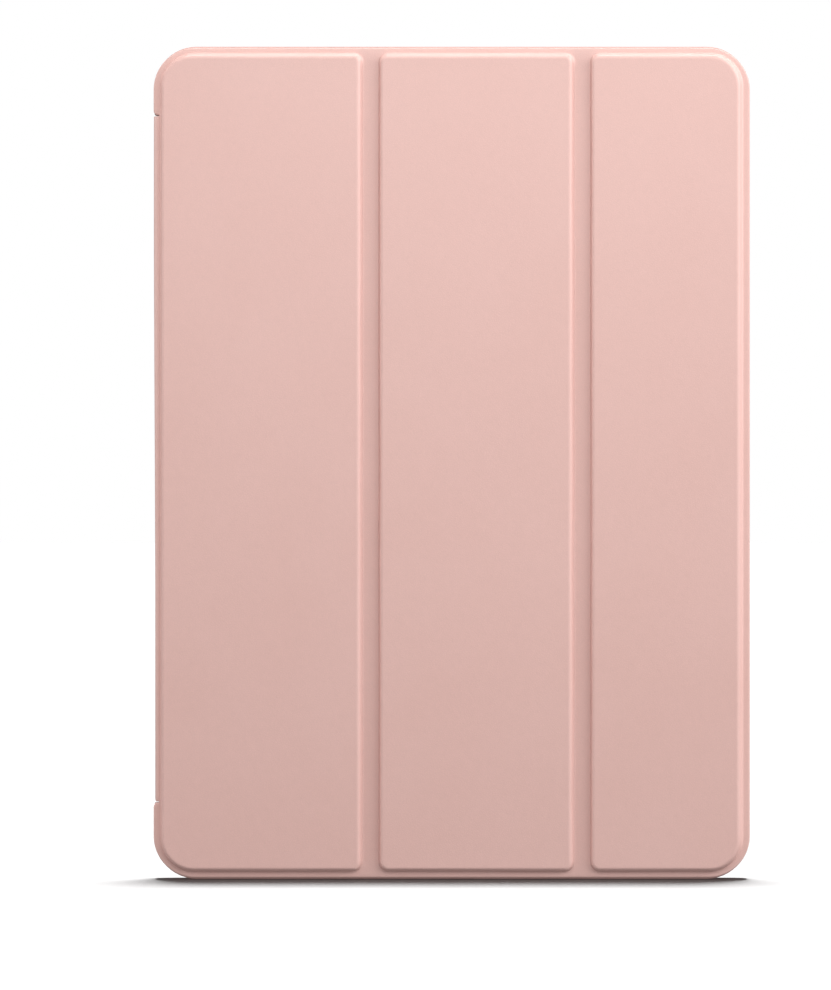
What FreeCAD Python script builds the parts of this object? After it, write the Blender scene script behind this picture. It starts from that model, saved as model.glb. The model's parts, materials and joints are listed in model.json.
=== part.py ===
import FreeCAD, Part
import math
import os

# Tri-fold folio case for a 9.7-inch-class tablet, standing upright and closed.
# Frame: +Z up along the long side, +X across the width, front cover faces -Y.
# Origin: bottom centre of the bounding box.  All lengths in millimetres.

V = FreeCAD.Vector

# ------------------------------------------------------------------ sizes ---
HEIGHT = 245.0            # shell, floor to top edge
COVER_HALF_W = 87.75      # half width of the cover hem
SHELL_HALF_W = 87.5       # half width of the moulded shell

FLOOR_T = 1.4             # shell back plate
POCKET_DEPTH = 7.7        # room for a 7.5 mm tablet
LIP_T = 0.8               # lip that runs over the tablet's front edge
LIP_IN = 0.8              # how far the lip reaches inward
POCKET_HALF_W = 85.05     # tablet 169.5 wide
POCKET_Z0, POCKET_Z1 = 2.2, 242.8   # tablet 240 tall
SHELL_R = 12.3            # outer corner radius
POCKET_R = 10.0
LIP_R = 9.2
BACK_EDGE_R = 3.0         # rounding round the shell's back
POCKET_EDGE_R = 1.5

COVER_GAP = 0.3           # lining to shell rim
LINING_T = 0.4
LEATHER_T = 0.5
BOARD_T = 1.9
PANEL_LEATHER_T = 0.6     # leather over a board
SHELL_DEPTH = FLOOR_T + POCKET_DEPTH + LIP_T
THICK = SHELL_DEPTH + COVER_GAP + LINING_T + BOARD_T + PANEL_LEATHER_T

Y_BACK = THICK / 2.0
Y_FRONT = -THICK / 2.0
Y_RIM = Y_BACK - SHELL_DEPTH             # front rim of the shell
Y_LIN0 = Y_RIM - COVER_GAP               # inner face of the lining
Y_LIN1 = Y_LIN0 - LINING_T               # lining meets leather and boards
Y_HEM = Y_LIN1 - LEATHER_T               # outer face of the hem
Y_FLOOR = Y_BACK - FLOOR_T               # pocket floor
Y_LIP = Y_RIM + LIP_T                    # underside of the lip

# the open left side between the two corner guards
GUARD_Z0, GUARD_Z1 = 22.5, 224.8
GUARD_GAP = 0.3

# spine
SPINE_X = -87.6           # outer face of the spine
SPINE_LEATHER_T = 0.5
SPINE_BOARD_T = 1.2
SPINE_LINING_T = 0.4
SPINE_END_GAP = 0.15      # to the hem in front

# back crease: the leather turns the corner here, bent half on the flap's side
# and half on the spine's side of the fold line
CREASE_GAP = 0.05         # crease strips to the fold line and to each other
CREASE_T = 0.45
CREASE_REACH = 1.4        # how far each strip reaches from the fold line
CREASE_END = 0.05         # strips to the flap and to the spine

# cover hem and panels
HEM_Z0, HEM_Z1 = 0.4, 244.6
HEM_R = 12.2
PANEL_Z0, PANEL_Z1 = 1.9, 243.3
P1_X0, P1_X1 = -85.7, -25.75
P2_X0, P2_X1 = -21.65, 36.55
P3_X0, P3_X1 = 40.6, 86.0
FOLD_CLEAR = 1.05         # each groove has two fold lines, this far from the panels
FOLD_GAP = 0.05           # fold line to the strip between the two lines
PANEL_R_OUT = 10.0        # panel corners at the outline
PANEL_R_FOLD = 3.0        # panel corners at the grooves
PANEL_EDGE_R = 1.9        # pressed edge over the board
BOARD_INSET = 0.95        # left, top and bottom edges
BOARD_INSET_RIGHT = 1.35  # the right edge is pressed softer
BOARD_CHAMFER = 0.8

# flap glued into a recess in the shell's back
FLAP_X1 = -62.5
FLAP_T = 0.5
TAPE_T = 0.1
RECESS_T = FLAP_T + TAPE_T
FLAP_R = 4.0

# magnets and keeper plates
MAG_X0, MAG_X1 = 77.2, 83.2
MAG_T = 1.5
MAG_LEN = 18.0
MAG_Z = (32.0, 84.0, 161.0, 213.0)
WAKE_X0, WAKE_X1 = 70.5, 74.5
WAKE_Z0, WAKE_Z1 = 176.0, 186.0
KEEP_X0, KEEP_X1 = -83.2, -77.2
KEEP_T = 0.6
KEEP_Z = ((28.0, 88.0), (157.0, 217.0))

# openings in the shell
SLOT_Y = (Y_LIP + Y_FLOOR) / 2.0         # middle of the tablet's thickness
SLOT_H = 5.6
SLOT_R = 2.5
JACK_X, JACK_W = -70.0, 10.0
POWER_X, POWER_W = 64.0, 17.0
VOL_Z0, VOL_Z1 = 190.0, 219.0
PORT_X, PORT_W = 0.0, 15.0
SPEAKER_X, SPEAKER_W = 30.0, 22.0
CAM_X, CAM_Z, CAM_W, CAM_H = 69.5, 231.0, 20.0, 11.0

os.makedirs("parts", exist_ok=True)


# ---------------------------------------------------------------- helpers ---
def rounded(x0, x1, z0, z1, radii, y):
    """Closed wire in the plane y; radii at bottom-left, bottom-right,
    top-right, top-left."""
    bl, br, tr, tl = radii
    s = math.sqrt(0.5)
    edges = []

    def line(a, b):
        if (b - a).Length > 1e-6:
            edges.append(Part.LineSegment(a, b).toShape())

    def arc(a, m, b):
        edges.append(Part.Arc(a, m, b).toShape())

    line(V(x0 + bl, y, z0), V(x1 - br, y, z0))
    if br:
        arc(V(x1 - br, y, z0), V(x1 - br + br * s, y, z0 + br - br * s), V(x1, y, z0 + br))
    line(V(x1, y, z0 + br), V(x1, y, z1 - tr))
    if tr:
        arc(V(x1, y, z1 - tr), V(x1 - tr + tr * s, y, z1 - tr + tr * s), V(x1 - tr, y, z1))
    line(V(x1 - tr, y, z1), V(x0 + tl, y, z1))
    if tl:
        arc(V(x0 + tl, y, z1), V(x0 + tl - tl * s, y, z1 - tl + tl * s), V(x0, y, z1 - tl))
    line(V(x0, y, z1 - tl), V(x0, y, z0 + bl))
    if bl:
        arc(V(x0, y, z0 + bl), V(x0 + bl - bl * s, y, z0 + bl - bl * s), V(x0 + bl, y, z0))
    return Part.Wire(edges)


def plate(x0, x1, z0, z1, radii, y0, y1):
    """Flat plate between y0 and y1 (y0 < y1)."""
    return Part.Face(rounded(x0, x1, z0, z1, radii, y0)).extrude(V(0, y1 - y0, 0))


def box(x0, x1, y0, y1, z0, z1):
    return Part.makeBox(x1 - x0, y1 - y0, z1 - z0, V(x0, y0, z0))


def edges_at(shape, y):
    found = []
    for e in shape.Edges:
        b = e.BoundBox
        if abs(b.YMin - y) < 1e-4 and abs(b.YMax - y) < 1e-4:
            found.append(e)
    return found


def one(shape):
    """The single solid of a boolean's result."""
    shape = shape.removeSplitter()
    assert len(shape.Solids) == 1, len(shape.Solids)
    return shape.Solids[0]


def export(name, shapes):
    if not isinstance(shapes, (list, tuple)):
        shapes = [shapes]
    for s in shapes:
        assert s.isValid() and s.ShapeType == "Solid", name
    shape = shapes[0] if len(shapes) == 1 else Part.makeCompound(list(shapes))
    shape.exportStep("parts/%s.step" % name)
    b = shape.BoundBox
    print("%-22s %2d  vol %9.1f  x %7.2f %7.2f  y %6.2f %6.2f  z %6.2f %6.2f" % (
        name, len(shapes), shape.Volume, b.XMin, b.XMax, b.YMin, b.YMax, b.ZMin, b.ZMax))


# --------------------------------------------------------- moulded shell ----
outer = plate(-SHELL_HALF_W, SHELL_HALF_W, 0, HEIGHT, (SHELL_R,) * 4, Y_RIM, Y_BACK)
outer = outer.makeFillet(BACK_EDGE_R, edges_at(outer, Y_BACK))
pocket = plate(-POCKET_HALF_W, POCKET_HALF_W, POCKET_Z0, POCKET_Z1, (POCKET_R,) * 4,
               Y_LIP, Y_FLOOR)
pocket = pocket.makeFillet(POCKET_EDGE_R, edges_at(pocket, Y_FLOOR))
mouth = plate(-POCKET_HALF_W + LIP_IN, POCKET_HALF_W - LIP_IN,
              POCKET_Z0 + LIP_IN, POCKET_Z1 - LIP_IN, (LIP_R,) * 4, Y_RIM - 1, Y_LIP + 0.5)
shell = outer.cut(pocket).cut(mouth)

# left side open for the spine: wall gone, floor stops at the pocket's side
open_z0, open_z1 = GUARD_Z0 - GUARD_GAP, GUARD_Z1 + GUARD_GAP
shell = shell.cut(box(-95, -POCKET_HALF_W, -20, 20, open_z0, open_z1))
shell = shell.cut(box(-95, -POCKET_HALF_W + LIP_IN + 0.2, -20, Y_FLOOR - POCKET_EDGE_R, open_z0, open_z1))
shell = shell.cut(box(-95, -POCKET_HALF_W + POCKET_EDGE_R + 0.2, -20, Y_FLOOR, open_z0, open_z1))

# recess for the glued flap
shell = shell.cut(plate(-90, FLAP_X1 + GUARD_GAP, open_z0, open_z1,
                        (0, FLAP_R + GUARD_GAP, FLAP_R + GUARD_GAP, 0), Y_BACK - RECESS_T, Y_BACK + 1))


def wall_slot_z(xc, width, z0, z1):
    """Rounded slot through the top or bottom wall."""
    w, h, r, y = width / 2.0, SLOT_H / 2.0, SLOT_R, SLOT_Y
    s = r * math.sqrt(0.5)
    c = [(xc - w + r, y - h), (xc + w - r, y - h), (xc + w, y - h + r), (xc + w, y + h - r),
         (xc + w - r, y + h), (xc - w + r, y + h), (xc - w, y + h - r), (xc - w, y - h + r)]
    m = [(xc + w - r + s, y - h + r - s), (xc + w - r + s, y + h - r + s),
         (xc - w + r - s, y + h - r + s), (xc - w + r - s, y - h + r - s)]
    p = [V(a, b, z0) for a, b in c]
    q = [V(a, b, z0) for a, b in m]
    edges = []
    for k in range(4):
        a, b, d = p[2 * k], p[2 * k + 1], p[(2 * k + 2) % 8]
        edges.append(Part.LineSegment(a, b).toShape())
        edges.append(Part.Arc(b, q[k], d).toShape())
    return Part.Face(Part.Wire(edges)).extrude(V(0, 0, z1 - z0))


shell = shell.cut(wall_slot_z(JACK_X, JACK_W, POCKET_Z1 - 3, HEIGHT + 2))
shell = shell.cut(wall_slot_z(POWER_X, POWER_W, POCKET_Z1 - 3, HEIGHT + 2))
shell = shell.cut(wall_slot_z(PORT_X, PORT_W, -2, POCKET_Z0 + 3))
for sx in (-SPEAKER_X, SPEAKER_X):
    shell = shell.cut(wall_slot_z(sx, SPEAKER_W, -2, POCKET_Z0 + 3))
# volume keys in the right wall
vol = wall_slot_z(0, VOL_Z1 - VOL_Z0, 0, 12)
vol.rotate(V(0, SLOT_Y, 0), V(0, 1, 0), 90)
vb = vol.BoundBox
vol.translate(V(SHELL_HALF_W + 3 - vb.XMax, 0, (VOL_Z0 + VOL_Z1) / 2.0 - (vb.ZMin + vb.ZMax) / 2.0))
vb = vol.BoundBox
shell = shell.cut(vol.common(box(POCKET_HALF_W - 3, SHELL_HALF_W + 4, -20, 20, 0, HEIGHT)))
# camera and microphone window in the back
cam = plate(CAM_X - CAM_W / 2, CAM_X + CAM_W / 2, CAM_Z - CAM_H / 2, CAM_Z + CAM_H / 2,
            (CAM_H / 2 - 0.01,) * 4, Y_FLOOR - 2, Y_BACK + 2)
shell = one(shell.cut(cam))
export("back_shell", shell)

# ------------------------------------------------------------ glued flap ----
flap_z0, flap_z1 = GUARD_Z0 + GUARD_GAP, GUARD_Z1 - GUARD_GAP
export("back_flap_leather", plate(SPINE_X + CREASE_REACH + CREASE_END, FLAP_X1, flap_z0, flap_z1, (0, FLAP_R, FLAP_R, 0),
                                  Y_BACK - FLAP_T, Y_BACK))
export("back_flap_tape", plate(-POCKET_HALF_W + 0.8, FLAP_X1 - 1.5, flap_z0 + 1.5, flap_z1 - 1.5,
                               (1, 3, 3, 1), Y_BACK - RECESS_T, Y_BACK - FLAP_T))

# ---------------------------------------------------- back crease strips ----
cx, cy = SPINE_X + CREASE_GAP, Y_BACK - CREASE_GAP
export("crease_leather_flap_side", box(cx + CREASE_T + CREASE_GAP, SPINE_X + CREASE_REACH,
                                       cy - CREASE_T, cy, flap_z0, flap_z1))
export("crease_leather_spine_side", box(cx, cx + CREASE_T, Y_BACK - CREASE_REACH, cy, flap_z0, flap_z1))

# ------------------------------------------------------------------ spine ---
sy0, sy1 = Y_LIN0 + SPINE_END_GAP, Y_BACK - CREASE_REACH - 4 * CREASE_END
sx1 = SPINE_X + SPINE_LEATHER_T
sx2 = sx1 + SPINE_BOARD_T
sx3 = sx2 + SPINE_LINING_T
export("spine_leather", box(SPINE_X, sx1, sy0, sy1, flap_z0, flap_z1))
export("spine_board", box(sx1, sx2, sy0 + 0.8, sy1 - 0.8, flap_z0 + 1.2, flap_z1 - 1.2))
export("spine_lining", box(sx2, sx3, sy0 + 0.2, sy1 - 0.2, flap_z0 + 0.4, flap_z1 - 0.4))


# ----------------------------------------------------------- cover panels ---
def block(x0, x1, radii):
    """Raised part of the leather over one board, its front edge pressed round."""
    b = plate(x0, x1, PANEL_Z0, PANEL_Z1, radii, Y_FRONT, Y_LIN1)
    return b.makeFillet(PANEL_EDGE_R, edges_at(b, Y_FRONT))


def board(x0, x1, radii):
    i = BOARD_INSET
    b = plate(x0 + i, x1 - BOARD_INSET_RIGHT, PANEL_Z0 + i, PANEL_Z1 - i, [max(r - i, 1.0) for r in radii],
              Y_FRONT + PANEL_LEATHER_T, Y_LIN1)
    return b.makeChamfer(BOARD_CHAMFER, edges_at(b, Y_FRONT + PANEL_LEATHER_T))


def panel(name, hem, lining, x0, x1, radii, cuts):
    brd = board(x0, x1, radii)
    # the leather is pressed down round the board, so the board fills its pocket
    leather = one(hem.fuse(block(x0, x1, radii)).cut(brd))
    export(name + "_leather", leather)
    for c in cuts:
        brd = brd.cut(c)
    export(name + "_board", one(brd))
    export(name + "_lining", lining)


# panel 1: hem with the two left corners, notched where the spine is
hem1 = plate(-COVER_HALF_W, P1_X1, HEM_Z0, HEM_Z1, (HEM_R, 0, 0, HEM_R), Y_HEM, Y_LIN1)
notch = box(-95, SPINE_X + 0.2, Y_HEM - 1, Y_LIN0 + 1, GUARD_Z0, GUARD_Z1)
hem1 = hem1.cut(notch)
lin1 = plate(-COVER_HALF_W + 0.3, P1_X1, HEM_Z0 + 0.3, HEM_Z1 - 0.3,
             (HEM_R - 0.3, 0, 0, HEM_R - 0.3), Y_LIN1, Y_LIN0)
lin1 = lin1.cut(box(-95, SPINE_X + 0.3, Y_HEM - 1, Y_LIN0 + 1, GUARD_Z0 - 0.2, GUARD_Z1 + 0.2))
keepers = [box(KEEP_X0, KEEP_X1, Y_LIN1 - KEEP_T, Y_LIN1, a, b) for a, b in KEEP_Z]
panel("panel_1", hem1, one(lin1), P1_X0, P1_X1,
      (PANEL_R_OUT, PANEL_R_FOLD, PANEL_R_FOLD, PANEL_R_OUT), keepers)
export("stand_keeper_plates", keepers)

# panel 2
hem2 = plate(P2_X0, P2_X1, HEM_Z0, HEM_Z1, (0,) * 4, Y_HEM, Y_LIN1)
lin2 = plate(P2_X0, P2_X1, HEM_Z0 + 0.3, HEM_Z1 - 0.3, (0,) * 4, Y_LIN1, Y_LIN0)
panel("panel_2", hem2, lin2, P2_X0, P2_X1, (PANEL_R_FOLD,) * 4, [])

# panel 3
hem3 = plate(P3_X0, COVER_HALF_W, HEM_Z0, HEM_Z1, (0, HEM_R, HEM_R, 0), Y_HEM, Y_LIN1)
lin3 = plate(P3_X0, COVER_HALF_W - 0.3, HEM_Z0 + 0.3, HEM_Z1 - 0.3,
             (0, HEM_R - 0.3, HEM_R - 0.3, 0), Y_LIN1, Y_LIN0)
magnets = [box(MAG_X0, MAG_X1, Y_LIN1 - MAG_T, Y_LIN1, z - MAG_LEN / 2, z + MAG_LEN / 2) for z in MAG_Z]
wake = box(WAKE_X0, WAKE_X1, Y_LIN1 - MAG_T, Y_LIN1, WAKE_Z0, WAKE_Z1)
panel("panel_3", hem3, lin3, P3_X0, P3_X1,
      (PANEL_R_FOLD, PANEL_R_OUT, PANEL_R_OUT, PANEL_R_FOLD), magnets + [wake])
export("closure_magnets", magnets)
export("wake_magnet", wake)

# ----------------------------------------------------------- fold strips ----
for k, a, b in ((1, P1_X1, P2_X0), (2, P2_X1, P3_X0)):
    a, b = a + FOLD_CLEAR + FOLD_GAP, b - FOLD_CLEAR - FOLD_GAP
    export("fold_%d_leather" % k, box(a, b, Y_HEM, Y_LIN1, HEM_Z0, HEM_Z1))
    export("fold_%d_lining" % k, box(a, b, Y_LIN1, Y_LIN0, HEM_Z0 + 0.3, HEM_Z1 - 0.3))

print("total thickness", THICK, "rim y", Y_RIM, "lining", Y_LIN0, Y_LIN1, "hem", Y_HEM)
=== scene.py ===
import json
import math

import bmesh
import bpy
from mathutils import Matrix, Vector, noise
from mathutils.geometry import delaunay_2d_cdt

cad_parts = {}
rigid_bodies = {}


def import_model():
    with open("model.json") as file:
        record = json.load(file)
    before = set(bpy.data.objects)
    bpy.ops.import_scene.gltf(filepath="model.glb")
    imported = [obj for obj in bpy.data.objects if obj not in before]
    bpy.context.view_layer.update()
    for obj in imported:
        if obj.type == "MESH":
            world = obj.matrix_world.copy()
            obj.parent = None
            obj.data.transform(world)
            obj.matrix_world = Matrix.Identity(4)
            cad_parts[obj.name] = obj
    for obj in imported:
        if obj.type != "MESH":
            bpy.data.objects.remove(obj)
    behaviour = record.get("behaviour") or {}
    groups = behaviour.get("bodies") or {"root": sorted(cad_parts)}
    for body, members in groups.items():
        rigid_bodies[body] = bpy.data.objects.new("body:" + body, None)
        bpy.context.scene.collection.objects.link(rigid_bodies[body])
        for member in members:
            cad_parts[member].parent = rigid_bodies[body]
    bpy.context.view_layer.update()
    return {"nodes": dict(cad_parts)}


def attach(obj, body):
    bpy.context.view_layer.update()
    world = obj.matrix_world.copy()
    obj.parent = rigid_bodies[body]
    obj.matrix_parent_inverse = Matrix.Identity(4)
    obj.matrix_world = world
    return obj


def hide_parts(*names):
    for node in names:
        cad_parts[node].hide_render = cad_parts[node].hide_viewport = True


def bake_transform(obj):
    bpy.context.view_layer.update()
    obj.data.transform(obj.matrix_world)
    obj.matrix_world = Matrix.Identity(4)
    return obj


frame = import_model()


MM = 0.001

# ------------------------------------------------------------------ sizes ---
Y_FRONT, Y_HEM, Y_MID, Y_IN = -6.55, -4.55, -4.05, -3.65
RAISE = Y_HEM - Y_FRONT
HEM_R = 0.45                       # rolled edge of the cover
SEAM_1, SEAM_2, SEAM_2B, SEAM_S = -23.70, 38.575, 36.95, -86.10
NOTCH0, NOTCH1 = 22.5, 224.8
X_SPINE = -87.6


# ---------------------------------------------------------------- helpers ---
class Pool:
    """Vertices shared by place, and faces between them."""

    def __init__(self):
        self.co, self.key, self.faces = [], {}, []

    def v(self, x, y, z):
        k = (round(x, 4), round(y, 4), round(z, 4))
        if k not in self.key:
            self.key[k] = len(self.co)
            self.co.append((x, y, z))
        return self.key[k]

    def f(self, ids):
        out = []
        for i in ids:
            if not out or out[-1] != i:
                out.append(i)
        if len(out) > 1 and out[0] == out[-1]:
            out.pop()
        if len(set(out)) >= 3 and len(set(out)) == len(out):
            self.faces.append(out)


def smooth(t):
    t = min(1.0, max(0.0, t))
    return t * t * (3 - 2 * t)


def make(name, pool, material, sharp=None, up=None):
    """Mesh object in metres, from a pool in millimetres. up is a point and a direction its face looks to."""
    me = bpy.data.meshes.new(name)
    seen, faces = set(), []
    for f in pool.faces:
        k = tuple(sorted(f))
        if k not in seen:
            seen.add(k)
            faces.append(f)
    me.from_pydata([tuple(c * MM for c in p) for p in pool.co], [], faces)
    bm = bmesh.new()
    bm.from_mesh(me)
    loose = [v for v in bm.verts if not v.link_faces]
    bmesh.ops.delete(bm, geom=loose, context="VERTS")
    bmesh.ops.recalc_face_normals(bm, faces=bm.faces)
    if up is not None:
        at, way = Vector(up[0]) * MM, Vector(up[1])
        best = max(bm.faces, key=lambda f: abs(f.normal.dot(way)) * f.calc_area() / (0.004 + (f.calc_center_median() - at).length))
        if best.normal.dot(way) < 0:
            bmesh.ops.reverse_faces(bm, faces=bm.faces)
    bm.to_mesh(me)
    bm.free()
    for p in me.polygons:
        p.use_smooth = True
    if sharp:
        me.set_sharp_from_angle(angle=math.radians(sharp))
    me.materials.append(material)
    o = bpy.data.objects.new(name, me)
    bpy.context.scene.collection.objects.link(o)
    return o


def mesh_wave(x, z, seed=0.0):
    """Slow unevenness of leather over board, about -1 to 1."""
    p = Vector((x / 34.0 + seed, z / 41.0, seed * 1.7))
    q = Vector((x / 13.0, z / 17.0 + seed, 4.0 + seed))
    return 0.75 * noise.noise(p) * 1.6 + 0.25 * noise.noise(q) * 1.6


# ------------------------------------------------------- pressed edge shape ---
def edge_profile(width, phi, a, b):
    """(inset, height) pairs from the groove floor to the plateau: a concave
    foot, a slanted wall and a round shoulder, scaled to the given width."""
    s, c = math.sin(math.radians(phi)), math.cos(math.radians(phi))
    wall = max(0.0, (RAISE - (a + b) * (1 - c)) / s)
    pts = []
    for k in range(5):
        t = math.radians(phi) * k / 4
        pts.append((a * math.sin(t), a * (1 - math.cos(t))))
    x0, h0 = pts[-1]
    for k in (1, 2):
        pts.append((x0 + wall * c * k / 3, h0 + wall * s * k / 3))
    x1, h1 = x0 + wall * c, h0 + wall * s
    for k in range(9):
        t = math.radians(phi) * (1 - k / 8)
        pts.append((x1 + b * (s - math.sin(t)), h1 + b * (math.cos(t) - c)))
    total = pts[-1][0]
    return [(p[0] * width / total, p[1] * RAISE / pts[-1][1]) for p in pts]


EDGE_LEFT = edge_profile(1.45, 76, 0.30, 0.95)
EDGE_SPINE = edge_profile(1.25, 74, 0.30, 0.75)
EDGE_RIGHT = edge_profile(2.35, 58, 0.75, 1.65)
EDGE_TOP = edge_profile(1.95, 66, 0.35, 1.40)
EDGE_BOTTOM = edge_profile(1.35, 75, 0.28, 0.88)
RINGS = len(EDGE_LEFT)


def ring(x0, x1, z0, z1, radii, grow, step=5.0, arcs=14):
    """Rounded rectangle shrunk by a different amount at each side, with the
    same number of points whatever the amounts. Points carry the outward angle."""
    l, r, b, t = grow
    out = []
    bl, br, tr, tl = radii
    corners = [
        (x1, z0, br, 1, -1, 270, r, b), (x1, z1, tr, 1, 1, 0, r, t),
        (x0, z1, tl, -1, 1, 90, l, t), (x0, z0, bl, -1, -1, 180, l, b)]
    nz = int((z1 - z0) / step)
    nx = int((x1 - x0) / step)
    for k, (cx, cz, rad, sx, sz, start, gx, gz) in enumerate(corners):
        ox, oz = cx - sx * rad, cz - sz * rad
        rx, rz = max(rad - gx, 0.25), max(rad - gz, 0.25)
        mx, mz = cx - sx * gx - sx * rx, cz - sz * gz - sz * rz
        for i in range(arcs + 1):
            t_ = math.radians(start + 90.0 * i / arcs)
            out.append((mx + rx * math.cos(t_), mz + rz * math.sin(t_), start + 90.0 * i / arcs))
        ncx, ncz, nrad, nsx, nsz, nstart, ngx, ngz = corners[(k + 1) % 4]
        nrx, nrz = max(nrad - ngx, 0.25), max(nrad - ngz, 0.25)
        nmx, nmz = ncx - nsx * ngx - nsx * nrx, ncz - nsz * ngz - nsz * nrz
        a = math.radians(nstart)
        ex, ez = nmx + nrx * math.cos(a), nmz + nrz * math.sin(a)
        n = nz if k % 2 == 0 else nx
        bx, bz, ang = out[-1]
        if k % 2 == 0:
            us = sorted((z - bz) / (ez - bz) for z in seam_heights())
            us = [u for u in us if 0.002 < u < 0.998]
        else:
            us = [i / n for i in range(1, n)]
        for u in us:
            out.append((bx + (ex - bx) * u, bz + (ez - bz) * u, nstart))
    return out


def mix_profiles(angle):
    """Weights of the right, top, left and bottom profiles for an outward angle."""
    c, s = math.cos(math.radians(angle)), math.sin(math.radians(angle))
    return max(c, 0) ** 2, max(s, 0) ** 2, max(-c, 0) ** 2, max(-s, 0) ** 2


def inside(poly, x, z):
    hit = False
    n = len(poly)
    for i in range(n):
        x0, z0 = poly[i][0], poly[i][1]
        x1, z1 = poly[(i + 1) % n][0], poly[(i + 1) % n][1]
        if (z0 > z) != (z1 > z) and x < (x1 - x0) * (z - z0) / (z1 - z0) + x0:
            hit = not hit
    return hit


def fill(pool, outer, holes, extra, height):
    """Triangles over the area inside outer and outside the holes; height(x, z) gives y."""
    pts = [Vector((p[0], p[1])) for p in outer]
    loop = list(range(len(pts)))
    edges = []
    for h in holes:
        base = len(pts)
        pts += [Vector((p[0], p[1])) for p in h]
        edges += [(base + i, base + (i + 1) % len(h)) for i in range(len(h))]
    pts += [Vector(e) for e in extra]
    vs, _, fs, _, _, _ = delaunay_2d_cdt(pts, edges, [loop], 1, 1e-5)
    ids = [pool.v(p.x, height(p.x, p.y), p.y) for p in vs]
    for f in fs:
        cx, cz = sum(vs[i].x for i in f) / len(f), sum(vs[i].y for i in f) / len(f)
        if any(inside(h, cx, cz) for h in holes):
            continue
        pool.f([ids[i] for i in f])


def seam_heights():
    """One set of heights for joint edges and fold columns, so no triangle skips a column."""
    a, b = HZ0 + 1.05, HZ1 - 1.05
    return [a, a + 1, a + 2, a + 3] + [a + (b - a) * i / 60 for i in range(1, 60)] + [b - 3, b - 2, b - 1, b]


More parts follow.
